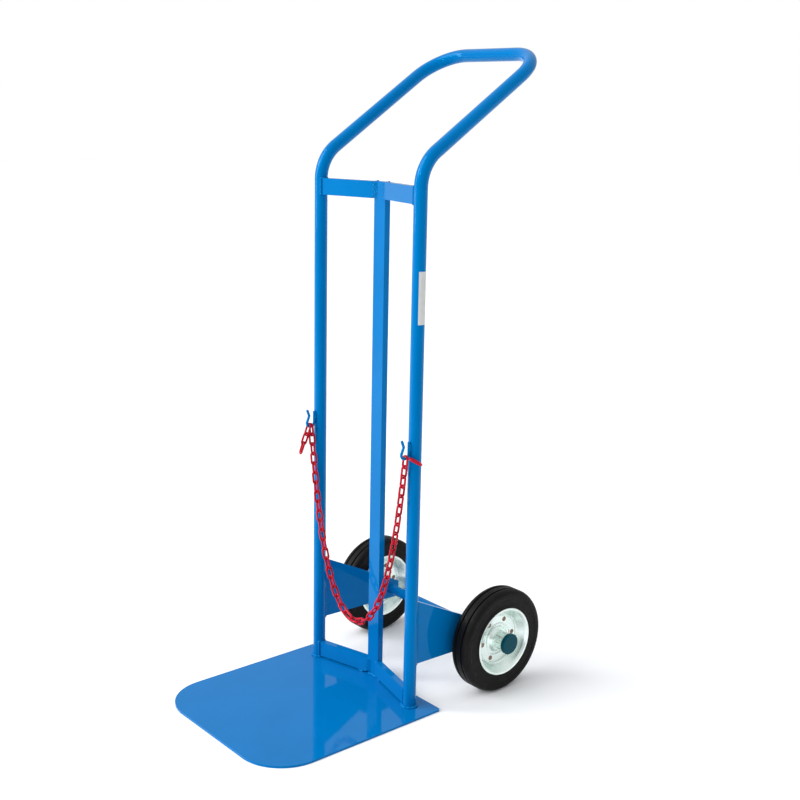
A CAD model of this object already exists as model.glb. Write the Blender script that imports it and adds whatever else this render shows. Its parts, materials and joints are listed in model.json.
"""Gas cylinder trolley: finishes, weld beads, floor, light and camera around the CAD frame.

Metres throughout, in the frame's own axes: +X right, +Y back to the wheels, +Z up.
"""
import json
import math

import bmesh
import bpy
from mathutils import Matrix, Vector


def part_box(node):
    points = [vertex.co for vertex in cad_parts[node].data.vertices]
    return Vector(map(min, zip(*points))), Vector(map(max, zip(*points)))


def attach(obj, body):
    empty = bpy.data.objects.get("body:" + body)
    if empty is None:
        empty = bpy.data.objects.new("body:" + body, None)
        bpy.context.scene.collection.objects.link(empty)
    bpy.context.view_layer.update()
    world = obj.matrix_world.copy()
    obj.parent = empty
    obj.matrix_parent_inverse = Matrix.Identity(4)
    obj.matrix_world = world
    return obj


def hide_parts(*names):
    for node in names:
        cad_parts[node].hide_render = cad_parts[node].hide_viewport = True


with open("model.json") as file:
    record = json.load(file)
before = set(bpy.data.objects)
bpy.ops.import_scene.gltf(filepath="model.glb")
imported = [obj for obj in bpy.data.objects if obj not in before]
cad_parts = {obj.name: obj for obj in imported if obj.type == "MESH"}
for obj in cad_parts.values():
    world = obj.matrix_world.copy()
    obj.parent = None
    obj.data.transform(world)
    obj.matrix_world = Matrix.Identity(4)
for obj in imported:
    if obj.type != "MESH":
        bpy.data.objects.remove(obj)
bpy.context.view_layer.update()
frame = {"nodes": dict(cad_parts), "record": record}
MM = 0.001

# Places read from the frame
TUBE_LOW, TUBE_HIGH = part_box("frame_tube")
POST_LOW, POST_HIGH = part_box("centre_post")
PLATE_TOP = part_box("toe_plate")[1].z
TUBE_R = -TUBE_LOW.y
SIDE_X = TUBE_HIGH.x - TUBE_R

X_AXIS = Vector((1, 0, 0))
Z_AXIS = Vector((0, 0, 1))


def centre(node):
    low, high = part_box(node)
    return (low + high) / 2


# ---------------------------------------------------------------- shader helpers

class Finish:
    """A Principled material whose patterns are in the piece's own coordinates."""

    def __init__(self, name, **values):
        self.mat = bpy.data.materials.new(name)
        self.mat.use_nodes = True
        self.tree = self.mat.node_tree
        self.shader = self.tree.nodes["Principled BSDF"]
        for socket, value in values.items():
            self.shader.inputs[socket.replace("_", " ")].default_value = value
        self.coords = self.tree.nodes.new("ShaderNodeTexCoord").outputs["Object"]

    def link(self, source, target):
        self.tree.links.new(source, target)

    def feed(self, socket, source):
        self.link(source, self.shader.inputs[socket])

    def stretched(self, scale):
        """Coordinates multiplied by a vector, for long or squashed patterns."""
        node = self.tree.nodes.new("ShaderNodeVectorMath")
        node.operation = "MULTIPLY"
        self.link(self.coords, node.inputs[0])
        node.inputs[1].default_value = scale
        return node.outputs[0]

    def noise(self, scale, detail=3, roughness=0.5, coords=None):
        node = self.tree.nodes.new("ShaderNodeTexNoise")
        node.inputs["Scale"].default_value = scale
        node.inputs["Detail"].default_value = detail
        node.inputs["Roughness"].default_value = roughness
        self.link(coords or self.coords, node.inputs["Vector"])
        return node.outputs["Fac"]

    def math(self, operation, a, b=None):
        node = self.tree.nodes.new("ShaderNodeMath")
        node.operation = operation
        for index, value in enumerate((a, b)):
            if isinstance(value, (int, float)):
                node.inputs[index].default_value = value
            elif value is not None:
                self.link(value, node.inputs[index])
        return node.outputs[0]

    def spread(self, source, low, high, out_low=0.0, out_high=1.0):
        """source's range low..high spread over out_low..out_high, clamped."""
        node = self.tree.nodes.new("ShaderNodeMapRange")
        self.link(source, node.inputs["Value"])
        for socket, value in zip(("From Min", "From Max", "To Min", "To Max"),
                                 (low, high, out_low, out_high)):
            node.inputs[socket].default_value = value
        return node.outputs["Result"]

    def mix(self, factor, a, b):
        """Colour a where factor is 0 and b where it is 1."""
        node = self.tree.nodes.new("ShaderNodeMix")
        node.data_type = "RGBA"
        self.link(factor, node.inputs["Factor"])
        for socket, value in (("A", a), ("B", b)):
            target = next(i for i in node.inputs if i.name == socket and i.type == "RGBA")
            if isinstance(value, tuple):
                target.default_value = (*value, 1)
            else:
                self.link(value, target)
        return next(o for o in node.outputs if o.type == "RGBA")

    def bump(self, height, distance, strength=1.0, under=None):
        node = self.tree.nodes.new("ShaderNodeBump")
        node.inputs["Distance"].default_value = distance
        node.inputs["Strength"].default_value = strength
        self.link(height, node.inputs["Height"])
        if under:
            self.link(under, node.inputs["Normal"])
        return node.outputs["Normal"]

    def radius_from(self, point):
        """Distance from the line through point along X, for turned and moulded rings."""
        shift = self.tree.nodes.new("ShaderNodeVectorMath")
        shift.operation = "SUBTRACT"
        self.link(self.coords, shift.inputs[0])
        shift.inputs[1].default_value = point
        flat = self.tree.nodes.new("ShaderNodeVectorMath")
        flat.operation = "MULTIPLY"
        self.link(shift.outputs[0], flat.inputs[0])
        flat.inputs[1].default_value = (0, 1, 1)
        length = self.tree.nodes.new("ShaderNodeVectorMath")
        length.operation = "LENGTH"
        self.link(flat.outputs[0], length.inputs[0])
        return length.outputs["Value"]


def painted(name, colour, deep, sheen, grain):
    """Gloss enamel: orange peel, slow drifts in shade and a faint uneven gloss."""
    f = Finish(name, IOR=1.36, Specular_Tint=(*sheen, 1))
    f.feed("Base Color", f.mix(f.spread(f.noise(9, 4), 0.35, 0.65), colour, deep))
    f.feed("Roughness", f.spread(f.noise(60, 5, 0.65), 0.3, 0.7, 0.02, 0.07))
    peel = f.bump(f.noise(grain, 2), 0.00005, 0.3)
    f.feed("Normal", f.bump(f.noise(45, 2), 0.0003, 0.12, under=peel))
    return f.mat


# A disc's pressed rings: the radius of each ring's middle, and its half width
PRESSED_RINGS = ((46.5 * MM, 1.8 * MM), (30 * MM, 2.2 * MM))

# Fine lines on the discs and moulded rings on the tyres: radians of wave per metre of radius
DISC_LINES = 5200
TYRE_RINGS = 1900


def zinc(name, point):
    """Zinc-plated pressed sheet: faint green passivate, pressed rings and dull spots."""
    f = Finish(name, Metallic=1.0)
    tint = f.mix(f.spread(f.noise(20, 3), 0.35, 0.68), (0.86, 0.95, 0.91), (0.76, 0.87, 0.82))
    dull = f.spread(f.noise(190, 6, 0.7), 0.62, 0.74)
    f.feed("Base Color", f.mix(dull, tint, (0.64, 0.66, 0.61)))
    f.feed("Roughness", f.math("ADD", f.spread(f.noise(60, 4), 0.3, 0.7, 0.2, 0.28),
                               f.spread(dull, 0, 1, 0, 0.1)))
    radius = f.radius_from(point)
    lines = f.math("SINE", f.math("MULTIPLY", radius, DISC_LINES))
    normal = f.bump(f.noise(70, 2), 0.0003, 0.14)
    for middle, half_width in PRESSED_RINGS:
        away = f.math("ABSOLUTE", f.math("SUBTRACT", radius, middle))
        normal = f.bump(f.spread(away, 0, half_width, 1, 0), 0.0009, 0.9, under=normal)
    f.feed("Normal", f.bump(lines, 0.000012, 0.5, under=normal))
    return f.mat


def rubber(name, point):
    """Moulded black rubber: side-wall rings, fine grain and a dusty tread."""
    f = Finish(name, IOR=1.4, Specular_IOR_Level=0.2)
    dust = f.spread(f.noise(55, 6, 0.7), 0.5, 0.78)
    f.feed("Base Color", f.mix(dust, (0.003, 0.0028, 0.0026), (0.009, 0.0083, 0.0077)))
    f.feed("Roughness", f.spread(f.noise(160, 5), 0.3, 0.7, 0.4, 0.6))
    rings = f.math("SINE", f.math("MULTIPLY", f.radius_from(point), TYRE_RINGS))
    grain = f.bump(f.noise(1500, 3), 0.0001, 0.4)
    f.feed("Normal", f.bump(rings, 0.00012, 0.55, under=grain))
    return f.mat


def bright_steel(name, colour=(0.6, 0.61, 0.63), low=0.2, high=0.36):
    """Drawn steel: a slightly uneven shade and fine scratches across X."""
    f = Finish(name, Metallic=1.0)
    f.feed("Base Color", f.mix(f.spread(f.noise(80, 4), 0.35, 0.7), colour,
                               tuple(0.78 * c for c in colour)))
    f.feed("Roughness", f.spread(f.noise(300, 5), 0.3, 0.7, low, high))
    f.feed("Normal", f.bump(f.noise(900, 2, coords=f.stretched((6, 1, 1))), 0.00004, 0.5))
    return f.mat


def rusted(name):
    """Rivet heads: steel with a brown film of rust."""
    f = Finish(name)
    rust = f.spread(f.noise(340, 6, 0.7), 0.22, 0.5)
    f.feed("Base Color", f.mix(rust, (0.46, 0.44, 0.4), (0.27, 0.165, 0.115)))
    f.feed("Metallic", f.spread(rust, 0, 1, 0.9, 0.2))
    f.feed("Roughness", f.spread(rust, 0, 1, 0.35, 0.8))
    f.feed("Normal", f.bump(f.noise(800, 5), 0.00025, 0.7))
    return f.mat


def moulded(name, colour, shade, low, high, sheen=(1, 1, 1), grain=1300):
    """Moulded plastic: fine grain and slight flow marks."""
    f = Finish(name, IOR=1.36, Specular_Tint=(*sheen, 1))
    f.feed("Base Color", f.mix(f.spread(f.noise(70, 4), 0.35, 0.65), colour, shade))
    f.feed("Roughness", f.spread(f.noise(220, 4), 0.3, 0.7, low, high))
    f.feed("Normal", f.bump(f.noise(grain, 2), 0.00006, 0.5))
    return f.mat


# ---------------------------------------------------------------- finishes

BLUE = painted("blue_enamel", (0.0, 0.155, 0.44), (0.0, 0.144, 0.41), (0.01, 0.5, 0.9), 420)
RED = painted("red_chain_coat", (0.54, 0.008, 0.028), (0.42, 0.005, 0.018), (1.0, 0.5, 0.5), 700)
STEEL = bright_steel("bright_steel")
RUST = rusted("rusted_rivet")
TEAL = moulded("teal_cap", (0.0, 0.045, 0.066), (0.0, 0.038, 0.056), 0.1, 0.2, (0.05, 0.8, 1.0), 400)
NYLON = moulded("nylon_cage", (0.6, 0.55, 0.44), (0.54, 0.49, 0.38), 0.42, 0.55)
FILM = moulded("label_film", (0.6, 0.61, 0.59), (0.55, 0.56, 0.54), 0.3, 0.44)

MATERIAL_OF_SLOT = {
    "frame_paint": BLUE, "chain_paint": RED, "bright_steel": STEEL, "rivet_steel": RUST,
    "cap_plastic": TEAL, "cage_plastic": NYLON, "label_film": FILM,
}


def finish_nodes():
    """Gives every CAD node the material of its slot. Ringed finishes are made per wheel."""
    ringed = {}
    for side in ("left", "right"):
        axis_point = centre(side + "_tyre")
        ringed[side, "zinc_sheet"] = zinc(side + "_zinc", axis_point)
        ringed[side, "tyre_rubber"] = rubber(side + "_rubber", axis_point)
    for part in frame["record"]["subparts"]:
        node, slot = part["node"], part["material_slot"]
        side = node.split("_")[0]
        obj = frame["nodes"][node]
        obj.data.materials.clear()
        obj.data.materials.append(ringed.get((side, slot)) or MATERIAL_OF_SLOT[slot])


# ---------------------------------------------------------------- weld beads

RIPPLE_PITCH = 2.1 * MM
RINGS_PER_RIPPLE = 7
BEAD_SIDES = 14
FEWEST_RINGS = 10

# A bead's size as shares of its radius: the low of a ripple, its rise, and two slow drifts
RIPPLE_LOW, RIPPLE_RISE = 0.9, 0.13
SLOW_DRIFT, FAST_DRIFT = 0.06, 0.04


def path_lengths(points):
    total = [0.0]
    for a, b in zip(points, points[1:]):
        total.append(total[-1] + (b - a).length)
    return total


def point_at(points, total, s):
    """Point and direction at distance s along a run of points."""
    for i in range(len(points) - 1):
        if s <= total[i + 1] or i == len(points) - 2:
            step = points[i + 1] - points[i]
            return points[i] + step * ((s - total[i]) / (total[i + 1] - total[i])), step.normalized()


def bead_mesh(mesh, points, radius, seed, closed=False):
    """A weld bead along points, with the overlapping ripples that each pool leaves."""
    total = path_lengths(points)
    length = total[-1]
    count = max(FEWEST_RINGS, round(length / RIPPLE_PITCH) * RINGS_PER_RIPPLE)
    rings = []
    for k in range(count if closed else count + 1):
        s = length * k / count
        at, along = point_at(points, total, s)
        ripple = (s / RIPPLE_PITCH) % 1.0
        drift = (SLOW_DRIFT * math.sin(5.1 * s / RIPPLE_PITCH / 3 + seed)
                 + FAST_DRIFT * math.sin(s * 900 + 2 * seed))
        size = radius * (RIPPLE_LOW + RIPPLE_RISE * math.sqrt(1 - ripple) + drift)
        if not closed:
            end = min(s, length - s) / radius
            size *= math.sqrt(max(0.02, 1 - max(0.0, 1 - end) ** 2))
        side = along.orthogonal().normalized()
        other = along.cross(side)
        ring = []
        for j in range(BEAD_SIDES):
            turn = 2 * math.pi * j / BEAD_SIDES
            outward = math.cos(turn) * side + math.sin(turn) * other
            ring.append(mesh.verts.new(at + size * outward))
        rings.append(ring)
    for a, b in zip(rings, rings[1:] + ([rings[0]] if closed else [])):
        shift = nearest_shift(a, b)
        for j in range(BEAD_SIDES):
            n = (j + 1) % BEAD_SIDES
            mesh.faces.new((a[j], a[n], b[(n + shift) % BEAD_SIDES], b[(j + shift) % BEAD_SIDES]))
    if not closed:
        mesh.faces.new(rings[0][::-1])
        mesh.faces.new(rings[-1])


def nearest_shift(a, b):
    """How far ring b is turned from ring a, so that the faces between them don't twist."""
    return min(range(BEAD_SIDES), key=lambda s: (b[s].co - a[0].co).length)


def beads(name, runs, stands_for=None):
    """One piece of several beads. runs holds (points, radius, closed)."""
    mesh = bmesh.new()
    for seed, (points, radius, closed) in enumerate(runs):
        bead_mesh(mesh, points, radius, seed + 1.0, closed)
    bmesh.ops.recalc_face_normals(mesh, faces=mesh.faces)
    data = bpy.data.meshes.new(name)
    mesh.to_mesh(data)
    mesh.free()
    for face in data.polygons:
        face.use_smooth = True
    data.materials.append(BLUE)
    obj = bpy.data.objects.new(name, data)
    bpy.context.scene.collection.objects.link(obj)
    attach(obj, "frame")
    if stands_for:
        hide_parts(stands_for)


def circle_points(middle, radius, axis, count=72):
    """A closed ring of points about an axis, the first repeated at the end."""
    side = axis.orthogonal().normalized()
    other = axis.cross(side)
    return [middle + radius * (math.cos(2 * math.pi * i / count) * side
                               + math.sin(2 * math.pi * i / count) * other)
            for i in range(count + 1)]


def mirrored(runs):
    """The runs and their mirror images about the middle plane."""
    flip = Matrix.Scale(-1, 3, X_AXIS)
    return runs + [([flip @ p for p in points], radius, closed) for points, radius, closed in runs]


def upright(x, y, low, high):
    return [Vector((x, y, low)), Vector((x, y, high))]


FOOT_R, BRACKET_R, HOOK_R, AXLE_BEAD_R = 2.9 * MM, 2.6 * MM, 1.7 * MM, 2.2 * MM


def foot_beads():
    """A closed bead around the foot of each upright."""
    ring = circle_points(Vector((SIDE_X, 0, PLATE_TOP + 1.0 * MM)), TUBE_R + 1.2 * MM, Z_AXIS)
    beads("foot_beads", mirrored([(ring, FOOT_R, True)]), "foot_welds")


def bracket_beads():
    """Beads down both faces of each bracket, where it meets the back of the upright."""
    low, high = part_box("right_bracket")
    weld_low, weld_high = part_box("bracket_welds")
    reach = TUBE_R + 0.2 * MM
    runs = [(upright(x, reach, weld_low.z - 5 * MM, weld_high.z - 1 * MM), BRACKET_R, False)
            for x in (low.x - 0.4 * MM, high.x + 0.4 * MM)]
    beads("bracket_beads", mirrored(runs), "bracket_welds")


def hook_beads():
    """Beads down both sides of each hook's stem, on the front of the upright."""
    weld_low, weld_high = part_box("hook_welds")
    hook_low, hook_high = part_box("right_hook")
    rod_r = (hook_high.x - hook_low.x) / 2
    runs = [(upright(SIDE_X + side * rod_r, -TUBE_R - 0.8 * MM, weld_low.z, weld_high.z), HOOK_R, False)
            for side in (-1, 1)]
    beads("hook_beads", mirrored(runs), "hook_welds")


# Weld passes that fill the corner between a stay's end and the post's front:
# distance in from the post's edge, distance behind its front face, bead radius
FILLET_PASSES = [(0.6 * MM, -0.1 * MM, 4.1 * MM), (3.2 * MM, 0.7 * MM, 3.6 * MM),
                 (5.6 * MM, 1.4 * MM, 3.1 * MM), (7.8 * MM, 1.9 * MM, 2.6 * MM)]


# Upright passes where a stay's end meets the tube: distance in from its centre, and place along Y
TUBE_PASSES = [(9.6 * MM, -7.6 * MM), (10.8 * MM, 5.6 * MM)]
STAY_END_R, STAY_BACK_R, TUBE_TOP_R, POST_TOP_R = 2.5 * MM, 2.2 * MM, 1.6 * MM, 1.2 * MM
OVERRUN = 1.6 * MM
STAY_DEPTH = 12.4 * MM


def stay_beads():
    """Beads at both ends of every stay, down its edges and along its top."""
    runs = []
    for level in ("upper", "lower"):
        low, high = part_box(level + "_right_stay")
        z0, z1 = low.z - OVERRUN, high.z + OVERRUN
        runs += [(upright(SIDE_X - inward, y, z0, z1), STAY_END_R, False) for inward, y in TUBE_PASSES]
        runs.append((upright(POST_HIGH.x + 0.6 * MM, high.y + 0.2 * MM, z0, z1), STAY_BACK_R, False))
        runs += [(upright(POST_HIGH.x - inward, POST_LOW.y + back, low.z, high.z), pass_r, False)
                 for inward, back, pass_r in FILLET_PASSES]
        at_tube = [Vector((SIDE_X - 10.6 * MM, y, high.z - 0.2 * MM)) for y in (-6 * MM, 4.5 * MM)]
        at_post = [Vector((POST_HIGH.x + 0.3 * MM, y, high.z - 0.5 * MM))
                   for y in (high.y - STAY_DEPTH + 4.5 * MM, high.y - 0.5 * MM)]
        runs += [(at_tube, TUBE_TOP_R, False), (at_post, POST_TOP_R, False)]
    beads("stay_beads", mirrored(runs))


PLATE_BEAD_R, TACK_R = 2.0 * MM, 2.1 * MM
TACK_LENGTH = 11 * MM
TACK_STARTS = (POST_HIGH.x + 6 * MM, SIDE_X - 34 * MM)
TACK_SLANT = 0.72    # share of the lower stay's own slant


def plate_beads():
    """Short beads that hold the post and the lower stays to the plate."""
    z = PLATE_TOP + 0.4 * MM
    half = POST_HIGH.x - 2 * MM
    runs = [([Vector((-half, y, z)), Vector((half, y, z))], PLATE_BEAD_R, False)
            for y in (POST_LOW.y - 0.5 * MM, POST_HIGH.y + 0.5 * MM)]
    slope = (POST_LOW.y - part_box("lower_right_stay")[0].y) / (SIDE_X - POST_HIGH.x)
    tacks = []
    for near in TACK_STARTS:
        ends = [Vector((x, POST_LOW.y - 5 * MM - slope * TACK_SLANT * (x - POST_HIGH.x), z + 0.6 * MM))
                for x in (near, near + TACK_LENGTH)]
        tacks.append((ends, TACK_R, False))
    beads("plate_beads", runs + mirrored(tacks))


def axle_beads():
    """Rings where the axle passes through the two brackets."""
    inner_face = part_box("right_bracket")[0].x
    axle_low, axle_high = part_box("axle")
    axle_r = (axle_high.z - axle_low.z) / 2
    middle = centre("axle")
    ring = circle_points(Vector((inner_face - 0.3 * MM, middle.y, middle.z)), axle_r + 0.6 * MM, X_AXIS)
    beads("axle_beads", mirrored([(ring, AXLE_BEAD_R, True)]))


# ---------------------------------------------------------------- studio

def aim(obj, target):
    obj.rotation_mode = "QUATERNION"
    obj.rotation_quaternion = (Vector(target) - obj.location).to_track_quat("-Z", "Y")


def area_light(name, place, target, size, power):
    light = bpy.data.lights.new(name, "AREA")
    light.shape = "RECTANGLE"
    light.size, light.size_y = size
    light.energy = power
    obj = bpy.data.objects.new(name, light)
    bpy.context.scene.collection.objects.link(obj)
    obj.location = place
    aim(obj, target)


def world_light():
    """White to the camera, and a gradient by height to everything else."""
    bpy.context.scene.view_settings.view_transform = "Standard"
    world = bpy.data.worlds.new("studio")
    bpy.context.scene.world = world
    world.use_nodes = True
    links, nodes = world.node_tree.links, world.node_tree.nodes
    ambient = nodes["Background"]
    ambient.inputs["Color"].default_value = (0.96, 0.98, 1.0, 1)
    height = nodes.new("ShaderNodeSeparateXYZ")
    links.new(nodes.new("ShaderNodeTexCoord").outputs["Generated"], height.inputs[0])
    ceiling = nodes.new("ShaderNodeMapRange")
    for socket, value in (("From Min", -0.1), ("From Max", 0.7), ("To Min", 0.45), ("To Max", 0.85)):
        ceiling.inputs[socket].default_value = value
    links.new(height.outputs["Z"], ceiling.inputs["Value"])
    links.new(ceiling.outputs["Result"], ambient.inputs["Strength"])
    backdrop = nodes.new("ShaderNodeBackground")
    backdrop.inputs["Color"].default_value = (1, 1, 1, 1)
    chosen = nodes.new("ShaderNodeMixShader")
    links.new(nodes.new("ShaderNodeLightPath").outputs["Is Camera Ray"], chosen.inputs["Fac"])
    links.new(ambient.outputs[0], chosen.inputs[1])
    links.new(backdrop.outputs[0], chosen.inputs[2])
    links.new(chosen.outputs[0], nodes["World Output"].inputs["Surface"])


# Area lamps: name, place, target, size, and power in watts
LAMPS = [("strip", (-1.9, -2.2, 1.6), (0, 0, 0.6), (0.5, 2.2), 26),
         ("spark", (0.5, -2.6, 2.3), (0, 0, 0.6), (0.22, 0.22), 5)]


def lamps():
    sun = bpy.data.lights.new("key", "SUN")
    sun.energy = 2.3
    sun.angle = math.radians(45)
    key = bpy.data.objects.new("key", sun)
    bpy.context.scene.collection.objects.link(key)
    key.location = (-1.2, -2.4, 2.1)
    aim(key, (0, 0, 0))
    for lamp in LAMPS:
        area_light(*lamp)


def paper_floor():
    bpy.ops.mesh.primitive_plane_add(size=40, location=(0, 0, 0))
    floor = bpy.context.object
    floor.name = "floor"
    paper = Finish("paper_floor")
    paper.feed("Base Color", paper.mix(paper.noise(3, 2), (0.93, 0.93, 0.935), (0.95, 0.95, 0.955)))
    paper.feed("Roughness", paper.spread(paper.noise(40, 3), 0.3, 0.7, 0.7, 0.8))
    floor.data.materials.append(paper.mat)


# The view: angles in degrees, place in metres, lens and sensor width in millimetres
AZIMUTH, ELEVATION, ROLL = 49.21, 13.45, 1.127
CAMERA_PLACE = (1.67225, -1.36075, 1.07328)
LENS, SENSOR_WIDTH = 54.69, 36


def camera():
    """The catalogue view: from the front right, slightly above, at a small roll."""
    azimuth, elevation, roll = (math.radians(a) for a in (AZIMUTH, ELEVATION, ROLL))
    back = Vector((math.sin(azimuth) * math.cos(elevation),
                   -math.cos(azimuth) * math.cos(elevation), math.sin(elevation)))
    level = Vector((math.cos(azimuth), math.sin(azimuth), 0))
    rise = back.cross(level)
    right = level * math.cos(roll) + rise * math.sin(roll)
    up = rise * math.cos(roll) - level * math.sin(roll)
    data = bpy.data.cameras.new("camera")
    data.sensor_width = SENSOR_WIDTH
    data.lens = LENS
    obj = bpy.data.objects.new("camera", data)
    bpy.context.scene.collection.objects.link(obj)
    axes = Matrix((right, up, back)).transposed().to_4x4()
    obj.matrix_world = Matrix.Translation(CAMERA_PLACE) @ axes
    bpy.context.scene.camera = obj


camera()
finish_nodes()
foot_beads()
bracket_beads()
hook_beads()
stay_beads()
plate_beads()
axle_beads()
world_light()
lamps()
paper_floor()

bpy.context.view_layer.update()
